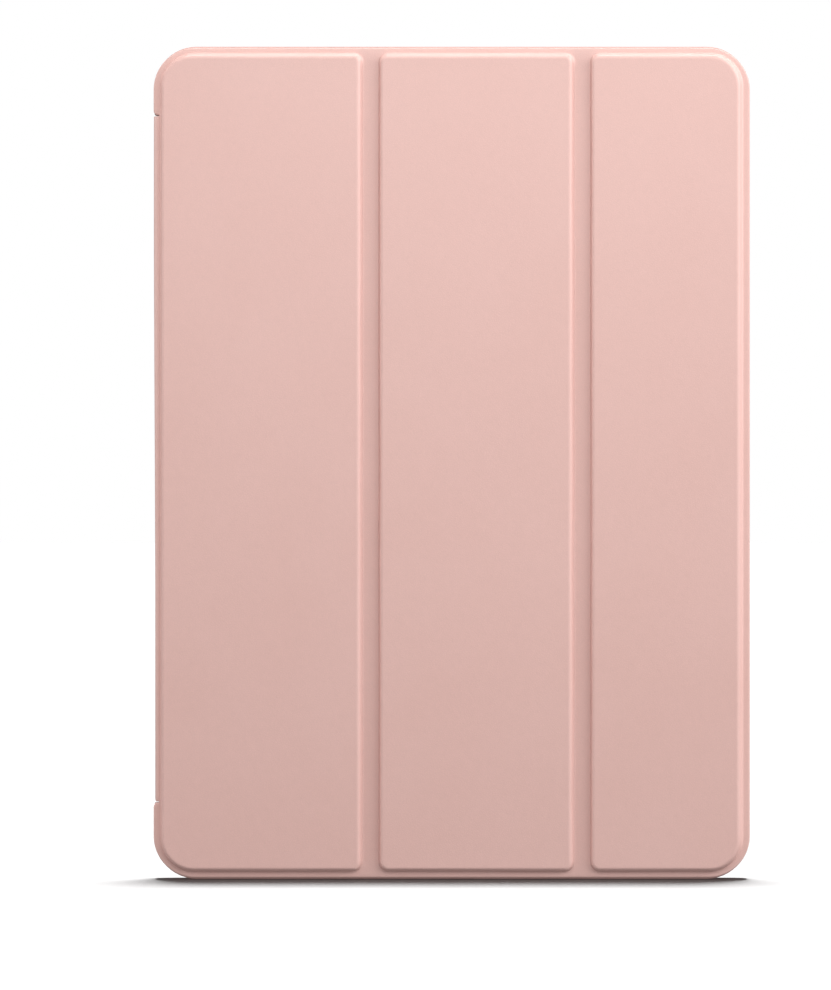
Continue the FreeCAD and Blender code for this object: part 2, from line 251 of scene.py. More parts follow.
def panel_leather(name, outline, block, radii, material, columns, seed, left=None):
    """Leather over one board, pressed down to a flat hem with a rolled edge.
    outline: (x, z, nx, nz, kind), kind 1 rolled, 0 joins its neighbour."""
    pool = Pool()
    x0, x1, z0, z1 = block
    EDGE_L = left or EDGE_LEFT

    def wave(x, z):
        return mesh_wave(x, z, seed)

    def plateau(x, z):
        return Y_FRONT - 0.035 * wave(x, z)

    rings = []
    for k in range(-1, RINGS + 1):
        if k < 0:
            gl = (-0.22, -0.22, -0.22, -0.22)
            h = (0.0, 0.0, 0.0, 0.0)
        elif k >= RINGS:
            gl = (EDGE_L[-1][0] + 0.3, EDGE_RIGHT[-1][0] + 0.3, EDGE_BOTTOM[-1][0] + 0.3, EDGE_TOP[-1][0] + 0.3)
            h = (RAISE,) * 4
        else:
            gl = (EDGE_L[k][0], EDGE_RIGHT[k][0], EDGE_BOTTOM[k][0], EDGE_TOP[k][0])
            h = (EDGE_RIGHT[k][1], EDGE_TOP[k][1], EDGE_L[k][1], EDGE_BOTTOM[k][1])
        pts = []
        for x, z, ang in ring(x0, x1, z0, z1, radii, gl):
            w = mix_profiles(ang)
            hh = sum(a * b for a, b in zip(w, h))
            f = hh / RAISE
            # the pressed edge wanders a little along its length
            wob = 0.09 * wave(x * 1.7 + 40, z * 1.7) * f * (1 - f) * 4
            nx_, nz_ = math.cos(math.radians(ang)), math.sin(math.radians(ang))
            y = Y_HEM - hh - 0.035 * wave(x, z) * f * f
            pts.append((x + nx_ * wob, z + nz_ * wob, y, ang))
        rings.append(pts)
    n = len(rings[0])
    for k in range(len(rings) - 1):
        a, b = rings[k], rings[k + 1]
        for i in range(n):
            j = (i + 1) % n
            pool.f([pool.v(a[i][0], a[i][2], a[i][1]), pool.v(a[j][0], a[j][2], a[j][1]),
                    pool.v(b[j][0], b[j][2], b[j][1]), pool.v(b[i][0], b[i][2], b[i][1])])
    top = rings[-1]
    grid = []
    gx, gz = x0 + 7.0, z0 + 7.0
    m, q = int((x1 - x0 - 14) / 5.5), int((z1 - z0 - 14) / 5.5)
    for i in range(m + 1):
        for k in range(q + 1):
            grid.append((x0 + 7 + (x1 - x0 - 14) * i / m + (k % 2) * 0.001, z0 + 7 + (z1 - z0 - 14) * k / q))
    low = {(round(p[0], 4), round(p[1], 4)): p[2] for p in top}
    fill(pool, top, [], grid, lambda x, z: low.get((round(x, 4), round(z, 4)), plateau(x, z)))
    # hem and groove
    foot = rings[0]
    footy = {(round(p[0], 4), round(p[1], 4)): p[2] for p in foot}
    rim = [(p[0], p[1]) for p in outline]
    extra = []
    for c in columns:
        extra += [(c, z) for z in seam_heights()]
    fill(pool, rim, [[(p[0], p[1]) for p in foot]], extra,
         lambda x, z: footy.get((round(x, 4), round(z, 4)), Y_HEM))
    # rolled edge, turned in over the lining's edge
    def section(p):
        x, z, nx_, nz_, kind = p
        if not kind:
            return [(x, Y_HEM, z)] + [(x, Y_HEM + (Y_MID - Y_HEM) * k / 8, z) for k in range(1, 9)] + [(x, Y_MID, z)] * 3
        out = []
        for k in range(9):
            t = math.pi * k / 8
            d = HEM_R * math.sin(t)
            out.append((x + nx_ * d, Y_HEM + HEM_R * (1 - math.cos(t)), z + nz_ * d))
        out.append((x - nx_ * 0.5, Y_IN, z - nz_ * 0.5))
        out.append((x - nx_ * 0.86, Y_IN + 0.04, z - nz_ * 0.86))
        out.append((x - nx_ * 0.9, Y_MID, z - nz_ * 0.9))
        return out

    secs = [section(p) for p in outline]
    n = len(secs)
    for i in range(n):
        a, b = secs[i], secs[(i + 1) % n]
        for k in range(len(a) - 1):
            pool.f([pool.v(*a[k]), pool.v(*b[k]), pool.v(*b[k + 1]), pool.v(*a[k + 1])])
    back = [(s[-1][0], s[-1][2]) for s in secs]
    clean = []
    for p in back:
        if not clean or (abs(p[0] - clean[-1][0]) + abs(p[1] - clean[-1][1])) > 1e-4:
            clean.append(p)
    fill(pool, clean, [], [e for e in extra if inside(clean, e[0], e[1])], lambda x, z: Y_MID)
    return make(name, pool, material, sharp=40, up=(((x0 + x1) / 2, Y_FRONT, 120), (0, -1, 0)))


def arc_points(cx, cz, r, a0, a1, n):
    out = []
    for i in range(n + 1):
        a = math.radians(a0 + (a1 - a0) * i / n)
        out.append((cx + r * math.cos(a), cz + r * math.sin(a), math.cos(a), math.sin(a), 1))
    return out


def run(a, b, n, nx_, nz_, kind, ends=(False, False), also=()):
    """n + 1 points from a to b; ends say which of the two end points to keep.
    also: further x positions to step on, where the sheet folds."""
    if also:
        xs = [a[0] + (b[0] - a[0]) * i / n for i in range(n + 1)]
        xs = [x for i, x in enumerate(xs) if i in (0, n) or not min(also) - 1.0 < x < max(also) + 1.0]
        xs = sorted(xs + list(also), reverse=b[0] < a[0])
        keep = xs[0 if ends[0] else 1:len(xs) if ends[1] else -1]
        return [(x, a[1], nx_, nz_, kind) for x in keep]
    out = []
    for i in range(n + 1):
        if (i == 0 and not ends[0]) or (i == n and not ends[1]):
            continue
        u = i / n
        out.append((a[0] + (b[0] - a[0]) * u, a[1] + (b[1] - a[1]) * u, nx_, nz_, kind))
    return out


def swept(name, material, stations, thick, ts, ends=(True, True), sharp=None, end_r=None):
    """A sheet swept along a path in the XY plane. stations: functions or tuples
    (x, y, nx, ny, z0, z1, f) of z, outer surface, outward normal, ends in Z and
    how much of the thickness is left; ts places the rows across Z."""
    pool = Pool()
    half = thick / 2.0
    r = end_r or half
    rows = []
    turn = [math.radians(90 - 18 * k) for k in range(6)]       # 90..0
    for k in range(len(turn)):
        rows.append((0.0, r * (1 - math.sin(turn[k])), math.cos(turn[k])))
    for t in ts:
        rows.append((t, None, 1.0))
    for k in range(len(turn) - 1, -1, -1):
        rows.append((1.0, -r * (1 - math.sin(turn[k])), math.cos(turn[k])))
    outer, inner = [], []
    for st in stations:
        o_row, i_row = [], []
        for t, shift, f in rows:
            probe = st(0.5) if callable(st) else st
            z0, z1 = probe[4], probe[5]
            if shift is None:
                z = z0 + r + (z1 - z0 - 2 * r) * t
            else:
                z = (z0 if t == 0.0 else z1) + shift
            s = st((z - 22.8) / 201.7) if callable(st) else st
            x, y, nx_, ny_ = s[:4]
            th = thick if len(s) < 8 else s[7]
            g = f * s[6]
            o_row.append((x - nx_ * th / 2 * (1 - g), y - ny_ * th / 2 * (1 - g), z))
            i_row.append((x - nx_ * th / 2 * (1 + g), y - ny_ * th / 2 * (1 + g), z))
        outer.append(o_row)
        inner.append(i_row)
    for grid in (outer, inner):
        for j in range(len(grid) - 1):
            for k in range(len(rows) - 1):
                a, b, c, d = grid[j][k], grid[j + 1][k], grid[j + 1][k + 1], grid[j][k + 1]
                pool.f([pool.v(*a), pool.v(*b), pool.v(*c), pool.v(*d)])
    for j in (0, len(outer) - 1):
        for k in range(len(rows) - 1):
            pool.f([pool.v(*outer[j][k]), pool.v(*outer[j][k + 1]), pool.v(*inner[j][k + 1]), pool.v(*inner[j][k])])
    mid = outer[len(outer) // 2][len(rows) // 2]
    st = stations[len(stations) // 2]
    s = st(0.5) if callable(st) else st
    return make(name, pool, material, sharp=sharp, up=(mid, (s[2], s[3], 0)))


def spread(n):
    return [i / n for i in range(n + 1)]


# -------------------------------------------------------------- materials ---
def nodes_of(name):
    m = bpy.data.materials.new(name)
    m.use_nodes = True
    nt = m.node_tree
    return m, nt, nt.nodes["Principled BSDF"]


def add(nt, kind, **values):
    n = nt.nodes.new(kind)
    for k, v in values.items():
        if k in n.inputs:
            n.inputs[k].default_value = v
        else:
            setattr(n, k, v)
    return n


def ramp(nt, stops, source):
    n = nt.nodes.new("ShaderNodeValToRGB")
    els = n.color_ramp.elements
    while len(els) < len(stops):
        els.new(0.5)
    for e, (p, c) in zip(els, stops):
        e.position = p
        e.color = (*c, 1.0) if len(c) == 3 else c
    nt.links.new(source, n.inputs["Fac"])
    return n


def grey(a):
    return (a, a, a)


def maths(nt, op, a, b=None, clamp=False):
    n = nt.nodes.new("ShaderNodeMath")
    n.operation = op
    n.use_clamp = clamp
    for i, v in enumerate((a, b)):
        if v is None:
            continue
        if isinstance(v, (int, float)):
            n.inputs[i].default_value = v
        else:
            nt.links.new(v, n.inputs[i])
    return n.outputs[0]


LEATHER = (0.790, 0.514, 0.466)


def leather(name, base=LEATHER, seed=0.0, grain=1.0):
    m, nt, b = nodes_of(name)
    L = nt.links
    tc = add(nt, "ShaderNodeTexCoord")
    at = add(nt, "ShaderNodeMapping")
    at.inputs["Location"].default_value = (seed, seed * 0.7, seed * 0.3)
    L.new(tc.outputs["Object"], at.inputs["Vector"])
    v = at.outputs["Vector"]
    # slow mottling, fine mottling and the pebbles' own tone
    slow = add(nt, "ShaderNodeTexNoise", Scale=26.0, Detail=3.0, Roughness=0.55)
    fine = add(nt, "ShaderNodeTexNoise", Scale=420.0, Detail=4.0, Roughness=0.6)
    warp = add(nt, "ShaderNodeTexNoise", Scale=900.0, Detail=2.0, Roughness=0.5)
    for n in (slow, fine, warp):
        L.new(v, n.inputs["Vector"])
    bend = add(nt, "ShaderNodeVectorMath", operation="MULTIPLY_ADD")
    L.new(warp.outputs["Color"], bend.inputs[0])
    bend.inputs[1].default_value = (0.00035, 0.00035, 0.00035)
    L.new(v, bend.inputs[2])
    cells = add(nt, "ShaderNodeTexVoronoi", Scale=1900.0, Randomness=1.0)
    cells.feature = "DISTANCE_TO_EDGE"
    L.new(bend.outputs[0], cells.inputs["Vector"])
    tiny = add(nt, "ShaderNodeTexVoronoi", Scale=4300.0, Randomness=1.0)
    L.new(bend.outputs[0], tiny.inputs["Vector"])
    pebble = ramp(nt, [(0.0, grey(0.0)), (0.10, grey(0.55)), (0.32, grey(0.92)), (0.6, grey(1.0))], cells.outputs["Distance"])
    tone = maths(nt, "MULTIPLY_ADD", slow.outputs["Fac"], 0.045)
    tone.node.inputs[2].default_value = 0.9775
    tone2 = maths(nt, "MULTIPLY_ADD", fine.outputs["Fac"], 0.05)
    tone2.node.inputs[2].default_value = 0.975
    tone3 = maths(nt, "MULTIPLY_ADD", pebble.outputs["Color"], 0.05)
    tone3.node.inputs[2].default_value = 0.955
    t = maths(nt, "MULTIPLY", maths(nt, "MULTIPLY", tone, tone2), tone3)
    col = add(nt, "ShaderNodeMix")
    col.data_type = "RGBA"
    col.blend_type = "MULTIPLY"
    col.inputs["Factor"].default_value = 1.0
    hue = ramp(nt, [(0.30, tuple(c * k for c, k in zip(base, (1.0, 0.993, 0.989)))),
                    (0.70, tuple(c * k for c, k in zip(base, (1.0, 1.006, 1.009))))], slow.outputs["Fac"])
    L.new(hue.outputs["Color"], col.inputs["A"])
    cmb = add(nt, "ShaderNodeCombineColor")
    for i in range(3):
        L.new(t, cmb.inputs[i])
    L.new(cmb.outputs["Color"], col.inputs["B"])
    L.new(col.outputs["Result"], b.inputs["Base Color"])
    rough = maths(nt, "MULTIPLY_ADD", fine.outputs["Fac"], 0.12)
    rough.node.inputs[2].default_value = 0.36
    rough = maths(nt, "MULTIPLY_ADD", slow.outputs["Fac"], 0.06)
    rough.node.inputs[2].default_value = 0.0
    r2 = maths(nt, "MULTIPLY_ADD", fine.outputs["Fac"], 0.12)
    L.new(rough, r2.node.inputs[2])
    r3 = maths(nt, "ADD", r2, 0.32)
    L.new(r3, b.inputs["Roughness"])
    # bump: pebbles, their fine skin and a slow unevenness
    h1 = maths(nt, "MULTIPLY", pebble.outputs["Color"], 0.62)
    h2 = maths(nt, "MULTIPLY_ADD", tiny.outputs["Distance"], 0.28)
    L.new(h1, h2.node.inputs[2])
    h3 = maths(nt, "MULTIPLY_ADD", fine.outputs["Fac"], 0.55)
    L.new(h2, h3.node.inputs[2])
    bump = add(nt, "ShaderNodeBump")
    bump.inputs["Strength"].default_value = 0.45 * grain
    bump.inputs["Distance"].default_value = 0.00004
    L.new(h3, bump.inputs["Height"])
    L.new(bump.outputs["Normal"], b.inputs["Normal"])
    b.inputs["Specular IOR Level"].default_value = 0.5
    b.inputs["Coat Weight"].default_value = 0.0
    return m


def microfibre(name, base=(0.60, 0.455, 0.425)):
    m, nt, b = nodes_of(name)
    L = nt.links
    tc = add(nt, "ShaderNodeTexCoord")
    v = tc.outputs["Object"]
    st = add(nt, "ShaderNodeMapping")
    st.inputs["Scale"].default_value = (1.0, 1.0, 0.35)
    st.inputs["Rotation"].default_value = (0.0, 0.6, 0.0)
    L.new(v, st.inputs["Vector"])
    nap = add(nt, "ShaderNodeTexNoise", Scale=70.0, Detail=5.0, Roughness=0.65)
    hair = add(nt, "ShaderNodeTexNoise", Scale=2600.0, Detail=5.0, Roughness=0.75, Distortion=0.6)
    L.new(v, nap.inputs["Vector"])
    L.new(st.outputs["Vector"], hair.inputs["Vector"])
    c1 = ramp(nt, [(0.32, tuple(c * 0.86 for c in base)), (0.68, tuple(min(1, c * 1.07) for c in base))], nap.outputs["Fac"])
    c2 = ramp(nt, [(0.25, grey(0.80)), (0.75, grey(1.0))], hair.outputs["Fac"])
    col = add(nt, "ShaderNodeMix")
    col.data_type = "RGBA"
    col.blend_type = "MULTIPLY"
    col.inputs["Factor"].default_value = 1.0
    L.new(c1.outputs["Color"], col.inputs["A"])
    L.new(c2.outputs["Color"], col.inputs["B"])
    L.new(col.outputs["Result"], b.inputs["Base Color"])
    r = maths(nt, "MULTIPLY_ADD", nap.outputs["Fac"], 0.12)
    r.node.inputs[2].default_value = 0.84
    L.new(r, b.inputs["Roughness"])
    h = maths(nt, "MULTIPLY_ADD", nap.outputs["Fac"], 0.8)
    L.new(hair.outputs["Fac"], h.node.inputs[2])
    bump = add(nt, "ShaderNodeBump")
    bump.inputs["Strength"].default_value = 0.6
    bump.inputs["Distance"].default_value = 0.00009
    L.new(h, bump.inputs["Height"])
    L.new(bump.outputs["Normal"], b.inputs["Normal"])
    b.inputs["Sheen Weight"].default_value = 0.35
    b.inputs["Sheen Roughness"].default_value = 0.45
    b.inputs["Sheen Tint"].default_value = (1.0, 0.9, 0.88, 1.0)
    b.inputs["Specular IOR Level"].default_value = 0.25
    return m


def moulded(name, base, rough=0.42, spark=2400.0, depth=0.00002, metal=0.0):
    m, nt, b = nodes_of(name)
    L = nt.links
    tc = add(nt, "ShaderNodeTexCoord")
    v = tc.outputs["Object"]
    big = add(nt, "ShaderNodeTexNoise", Scale=34.0, Detail=3.0, Roughness=0.5)
    fine = add(nt, "ShaderNodeTexNoise", Scale=spark, Detail=3.0, Roughness=0.6)
    for n in (big, fine):
        L.new(v, n.inputs["Vector"])
    c = ramp(nt, [(0.30, tuple(x * 0.95 for x in base)), (0.70, tuple(min(1.0, x * 1.03) for x in base))], big.outputs["Fac"])
    d = ramp(nt, [(0.30, grey(0.93)), (0.70, grey(1.0))], fine.outputs["Fac"])
    col = add(nt, "ShaderNodeMix")
    col.data_type = "RGBA"
    col.blend_type = "MULTIPLY"
    col.inputs["Factor"].default_value = 1.0
    L.new(c.outputs["Color"], col.inputs["A"])
    L.new(d.outputs["Color"], col.inputs["B"])
    L.new(col.outputs["Result"], b.inputs["Base Color"])
    r = maths(nt, "MULTIPLY_ADD", big.outputs["Fac"], 0.10)
    r.node.inputs[2].default_value = rough - 0.09
    r2 = maths(nt, "MULTIPLY_ADD", fine.outputs["Fac"], 0.08)
    L.new(r, r2.node.inputs[2])
    L.new(r2, b.inputs["Roughness"])
    bump = add(nt, "ShaderNodeBump")
    bump.inputs["Strength"].default_value = 0.35
    bump.inputs["Distance"].default_value = depth
    L.new(fine.outputs["Fac"], bump.inputs["Height"])
    L.new(bump.outputs["Normal"], b.inputs["Normal"])
    b.inputs["Metallic"].default_value = metal
    return m


mat_leather = leather("cover_leather_mat")
mat_flap = leather("flap_leather_mat", seed=0.37)
mat_lining = microfibre("lining_mat")
mat_shell = moulded("shell_mat", (0.735, 0.475, 0.430), rough=0.46)
mat_board = moulded("board_mat", (0.36, 0.33, 0.29), rough=0.85, spark=900.0, depth=0.00006)
mat_spine_board = moulded("spine_board_mat", (0.20, 0.19, 0.18), rough=0.5, spark=1200.0)
mat_steel = moulded("keeper_mat", (0.56, 0.56, 0.57), rough=0.38, spark=1500.0, metal=1.0)
mat_magnet = moulded("magnet_mat", (0.66, 0.65, 0.62), rough=0.25, spark=1500.0, metal=1.0)
mat_tape = moulded("tape_mat", (0.74, 0.72, 0.66), rough=0.55, spark=1100.0)

by_node = {
    "panel_1_board": mat_board, "panel_2_board": mat_board, "panel_3_board": mat_board,
    "spine_board": mat_spine_board, "stand_keeper_plates": mat_steel, "closure_magnets": mat_magnet,
    "wake_magnet": mat_magnet, "back_flap_tape": mat_tape, "back_shell": mat_shell}
for node, o in frame["nodes"].items():
    mat = by_node.get(node) or (mat_lining if "lining" in node else mat_leather)
    o.data.materials.clear()
    o.data.materials.append(mat)

# ------------------------------------------------------------- the covers ---
HX0, HX1, HZ0, HZ1 = -87.75 + HEM_R, 87.75 - HEM_R, 0.4 + HEM_R, 244.6 - HEM_R
CR = 12.2 - HEM_R


def seam(x, z_from, z_to, nx_):
    """A joint edge with its neighbour, from one hem to the other."""
    zs = seam_heights()
    return [(x, z, nx_, 0.0, 0) for z in (zs if z_to > z_from else zs[::-1])]


def tidy(points):
    out = []
    for p in points:
        if not out or abs(p[0] - out[-1][0]) + abs(p[1] - out[-1][1]) > 1e-5 or p[4] != out[-1][4]:
            out.append(p)
    return out


# panel 1, counter-clockwise from the bottom hem's left end
g1 = [-25.36 + 0.1675 * i for i in range(10)]
g2 = [-23.55 + 0.1675 * i for i in range(10)]
g3 = [38.75 + 0.167 * i for i in range(10)]
EAR_R = 1.3
N0, N1 = NOTCH0 - HEM_R, NOTCH1 + HEM_R
o1 = arc_points(HX0 + CR, HZ0 + CR, CR, 180, 270, 22)
o1 += run((HX0 + CR, HZ0), (SEAM_1, HZ0), 12, 0, -1, 1, (False, True), g1)
o1 += seam(SEAM_1, HZ0, HZ1, 1)
o1 += run((SEAM_1, HZ1), (HX0 + CR, HZ1), 12, 0, 1, 1, (True, False), g1)
o1 += arc_points(HX0 + CR, HZ1 - CR, CR, 90, 180, 22)
o1 += run((HX0, HZ1 - CR), (HX0, N1 + EAR_R), 3, -1, 0, 1, (False, False))
o1 += arc_points(HX0 + EAR_R - HEM_R, N1 + EAR_R - HEM_R, EAR_R - HEM_R, 180, 270, 6)
o1 += [(SEAM_S, N1, 0, -1, 1)]
n = 50
o1 += [(SEAM_S, 224.0 - (224.0 - 23.3) * i / n, -1, 0, 0) for i in range(n + 1)]
o1 += [(SEAM_S, N0, 0, 1, 1)]
o1 += arc_points(HX0 + EAR_R - HEM_R, N0 - EAR_R + HEM_R, EAR_R - HEM_R, 90, 180, 6)
o1 += run((HX0, N0 - EAR_R), (HX0, HZ0 + CR), 3, -1, 0, 1, (False, False))
o1 = tidy(o1)
p1 = panel_leather("cover_leather_panel_1", o1, (-85.85, -25.75, 2.15, 243.3), (10, 3, 3, 10), mat_leather, g1, 0.0, EDGE_SPINE)
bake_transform(p1)
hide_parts("panel_1_leather", "fold_1_leather")

# panel 2
o2 = run((SEAM_1, HZ0), (SEAM_2B, HZ0), 12, 0, -1, 1, (True, True), g2)
o2 += seam(SEAM_2B, HZ0, HZ1, 1)
o2 += run((SEAM_2B, HZ1), (SEAM_1, HZ1), 12, 0, 1, 1, (True, True), g2)
o2 += seam(SEAM_1, HZ1, HZ0, -1)
o2 = tidy(o2)
p2 = panel_leather("cover_leather_panel_2", o2, (-21.65, 36.55, 2.15, 243.3), (3, 3, 3, 3), mat_leather, g2, 7.3)
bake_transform(p2)
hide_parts("panel_2_leather")

# panel 3
o3 = run((SEAM_2, HZ0), (HX1 - CR, HZ0), 10, 0, -1, 1, (True, False), g3)
o3 += arc_points(HX1 - CR, HZ0 + CR, CR, 270, 360, 22)
o3 += run((HX1, HZ0 + CR), (HX1, HZ1 - CR), 40, 1, 0, 1, (False, False))
o3 += arc_points(HX1 - CR, HZ1 - CR, CR, 0, 90, 22)
o3 += run((HX1 - CR, HZ1), (SEAM_2, HZ1), 10, 0, 1, 1, (False, True), g3)
o3 += seam(SEAM_2, HZ1, HZ0, -1)
o3 = tidy(o3)
p3 = panel_leather("cover_leather_panel_3", o3, (40.6, 86.0, 2.15, 243.3), (3, 10, 10, 3), mat_leather, g3, 15.1)
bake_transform(p3)
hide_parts("panel_3_leather")


# left half of the second groove: a flat strip with the same rolled ends
def strip(name, xs, material):
    pool = Pool()
    cols = []
    for x in xs:
        col = []
        zs = [HZ0 + 1.05 + (HZ1 - HZ0 - 2.1) * i / 60 for i in range(61)]
        for k in range(12):
            if k < 9:
                t = math.pi * (8 - k) / 8
                col.append((x, Y_HEM + HEM_R * (1 - math.cos(t)), HZ0 - HEM_R * math.sin(t)))
        lo = [(x, Y_MID, HZ0 + 0.9), (x, Y_IN + 0.04, HZ0 + 0.86), (x, Y_IN, HZ0 + 0.5)]
        hi = [(x, Y_IN, HZ1 - 0.5), (x, Y_IN + 0.04, HZ1 - 0.86), (x, Y_MID, HZ1 - 0.9)]
        up = []
        for k in range(9):
            t = math.pi * k / 8
            up.append((x, Y_HEM + HEM_R * (1 - math.cos(t)), HZ1 + HEM_R * math.sin(t)))
        cols.append(lo + col + [(x, Y_HEM, z) for z in zs] + up + hi + [(x, Y_MID, z) for z in reversed(zs)])
    n = len(cols[0])
    for j in range(len(cols) - 1):
        for k in range(n):
            m = (k + 1) % n
            pool.f([pool.v(*cols[j][k]), pool.v(*cols[j + 1][k]), pool.v(*cols[j + 1][m]), pool.v(*cols[j][m])])
    return make(name, pool, material, sharp=40, up=((xs[len(xs) // 2], Y_HEM, 120), (0, -1, 0)))


f2 = strip("cover_leather_fold_2", [SEAM_2B + (SEAM_2 - SEAM_2B) * i / 12 for i in range(13)], mat_leather)
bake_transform(f2)
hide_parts("fold_2_leather")

# ------------------------------------------------------------------ spine ---
SZ0, SZ1 = 22.8, 224.5


def lean(t):
    """How far the spine's face stands inward: flush near the top, a little in lower down."""
    return -0.10 + 0.52 * smooth((0.86 - t) / 0.80) - 0.02 * math.sin(9 * t)


def front_station(k, n, thick=0.5):
    """The leather turns from the hem into the spine on an arc."""
    def at(t):
        r = SEAM_S - (X_SPINE + lean(t))
        a = math.radians(270 - 90.0 * k / n)
        return (SEAM_S + r * math.cos(a), Y_HEM + r + r * math.sin(a), math.cos(a), math.sin(a), SZ0, SZ1, 1.0)
    return at


def side_station(y):
    def at(t):
        bow = 0.10 * math.sin(math.pi * (y + 2.95) / 7.84)
        return (X_SPINE + lean(t) * (1 - smooth((y - 0.5) / 4.0)) - 0.0 * bow, y, -1.0, 0.0, SZ0, SZ1, 1.0)
    return at


front_st = [front_station(k, 16) for k in range(17)]
# continue down the side from where the arc ends; the arc's radius changes with z
front_st += [side_station(y) for y in (-2.4, -1.8, -1.2, -0.6, 0.0, 0.5)]
sp1 = swept("spine_leather_front", mat_leather, front_st, 0.5, spread(70))
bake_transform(sp1)
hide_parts("spine_leather")

BR = 1.1
BCX, BCY = X_SPINE + BR, 6.55 - BR


def back_station(a):
    a = math.radians(a)
    return (BCX + BR * math.cos(a), BCY + BR * math.sin(a), math.cos(a), math.sin(a), SZ0, SZ1, 1.0)


back_st = [side_station(y) for y in (0.5, 1.1, 1.7, 2.3, 2.9, 3.4, 3.9, 4.3, 4.6, 4.8, 5.0, 5.15, 5.3)]
back_st += [back_station(180 - 45.0 * k / 12) for k in range(13)]
sp2 = swept("spine_leather_back", mat_leather, back_st, 0.5, spread(70))
MIDX, MIDY = BCX + BR * math.cos(math.radians(135)), BCY + BR * math.sin(math.radians(135))
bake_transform(sp2)
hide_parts("crease_leather_spine_side")

# flap on the shell's back
FLAP_X1, FLAP_R = -62.5, 4.0


def flap_station(x, f=1.0):
    d = FLAP_X1 - x
    if d < FLAP_R:
        in_ = FLAP_R - math.sqrt(max(0.0, FLAP_R ** 2 - (FLAP_R - d) ** 2))
    else:
        in_ = 0.0
    return (x, 6.55, 0.0, 1.0, SZ0 + in_, SZ1 - in_, f)


flap_st = []
for k in range(6):
    th = math.radians(90 - 18 * k)
    flap_st.append(flap_station(FLAP_X1 - 0.25 * (1 - math.sin(th)), math.cos(th)))
for x in (-62.9, -63.2, -63.6, -64.1, -64.7, -65.4, -66.2, -67.2, -69, -71, -73, -75, -77, -79, -81, -82.5, -83.5,
          -84.3, -84.9, -85.4, -85.8, -86.05, -86.2, -86.35):
    flap_st.append(flap_station(x))
flap_st += [back_station(90 + 45.0 * k / 12) for k in range(13)]
fl = swept("back_flap_leather_skin", mat_flap, flap_st, 0.5, spread(70))
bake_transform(fl)
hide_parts("back_flap_leather", "crease_leather_flap_side")

# ---------------------------------------------------------------- linings ---
LIN = 0.4
IN = 1.35 + 0.12                 # the leather is turned in this far
LR = 12.2 - IN


def lining_row(x, x0=None, x1=None, dip=0.0):
    """Station of a flat lining at x; its inner face looks to +Y."""
    z_in = 0.0
    if x0 is not None and x - x0 < LR:
        z_in = LR - math.sqrt(max(0.0, LR ** 2 - (LR - (x - x0)) ** 2))
    if x1 is not None and x1 - x < LR:
        z_in = LR - math.sqrt(max(0.0, LR ** 2 - (LR - (x1 - x)) ** 2))
    return (x, Y_IN - dip, 0.0, 1.0, 0.4 + IN + z_in, 244.6 - IN - z_in, 1.0, LIN - dip)


def pressed(x, lines):
    """Depth of the fold lines pressed into the lining."""
    return sum(0.16 * math.exp(-((x - c) / 0.55) ** 2) for c in lines)


def stations_x(a, b, dense):
    xs = []
    x = a
    while x < b - 1e-6:
        xs.append(x)
        near = min(abs(x - c) for c in dense) if dense else 99
        x += 0.2 if near < 2.4 else (0.6 if near < 5 else 3.0)
    xs.append(b)
    return xs


rows_lin = spread(64)
LX0, LX1 = -87.75 + IN, 87.75 - IN


def lining_panel(name, xs, x0, x1, lines, notch=False):
    st = []
    first, last = xs[0], xs[-1]
    if x0 is not None:
        xs = [x0 + LR * (1 - math.cos(math.radians(90 * k / 18))) for k in range(19)] + [x for x in xs if x > x0 + LR + 0.3]
    if x1 is not None:
        xs = [x for x in xs if x < x1 - LR - 0.3] + [x1 - LR * (1 - math.sin(math.radians(90 * k / 18))) for k in range(19)]
    for x in xs:
        row = list(lining_row(x, x0, x1, pressed(x, lines)))
        if x1 is not None and x1 - x < 1e-6:
            row[6] = 0.15
        st.append(tuple(row))
    return swept(name, mat_lining, st, LIN, rows_lin, end_r=0.2)


l1 = lining_panel("lining_panel_1", stations_x(SEAM_S, SEAM_1, [-24.7]), SEAM_S, None, [-24.7])
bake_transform(l1)
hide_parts("panel_1_lining", "fold_1_lining")
l2 = lining_panel("lining_panel_2", stations_x(SEAM_1, SEAM_2B, [-22.7, 37.6]), None, None, [-22.7, 37.6])
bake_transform(l2)
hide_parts("panel_2_lining")
l3 = lining_panel("lining_fold_2", [SEAM_2B + (SEAM_2 - SEAM_2B) * i / 12 for i in range(13)], None, None, [37.6, 39.55])
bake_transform(l3)
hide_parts("fold_2_lining")
l4 = lining_panel("lining_panel_3", stations_x(SEAM_2, LX1, [39.55]), None, LX1, [37.6, 39.55])
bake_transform(l4)
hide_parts("panel_3_lining")


# spine lining: from the hem, down the crease, over the board and up to the back crease
def path_stations(points, thick, z0, z1):
    """Stations along a smooth line through points, inner face on its left."""
    fine = []
    n = len(points)
    for i in range(n - 1):
        p0 = points[max(i - 1, 0)]
        p1_, p2_ = points[i], points[i + 1]
        p3_ = points[min(i + 2, n - 1)]
        steps = max(2, int(math.hypot(p2_[0] - p1_[0], p2_[1] - p1_[1]) / 0.22))
        for k in range(steps):
            t = k / steps
            q = []
            for c in (0, 1):
                a, b, d, e = p0[c], p1_[c], p2_[c], p3_[c]
                q.append(0.5 * (2 * b + (d - a) * t + (2 * a - 5 * b + 4 * d - e) * t * t + (3 * b - a - 3 * d + e) * t ** 3))
            fine.append(tuple(q))
    fine.append(points[-1])
    st = []
    for i, p in enumerate(fine):
        a, b = fine[max(i - 1, 0)], fine[min(i + 1, len(fine) - 1)]
        tx, ty = b[0] - a[0], b[1] - a[1]
        l = math.hypot(tx, ty)
        st.append((p[0], p[1], ty / l, -tx / l, z0, z1, 1.0, thick))
    return st


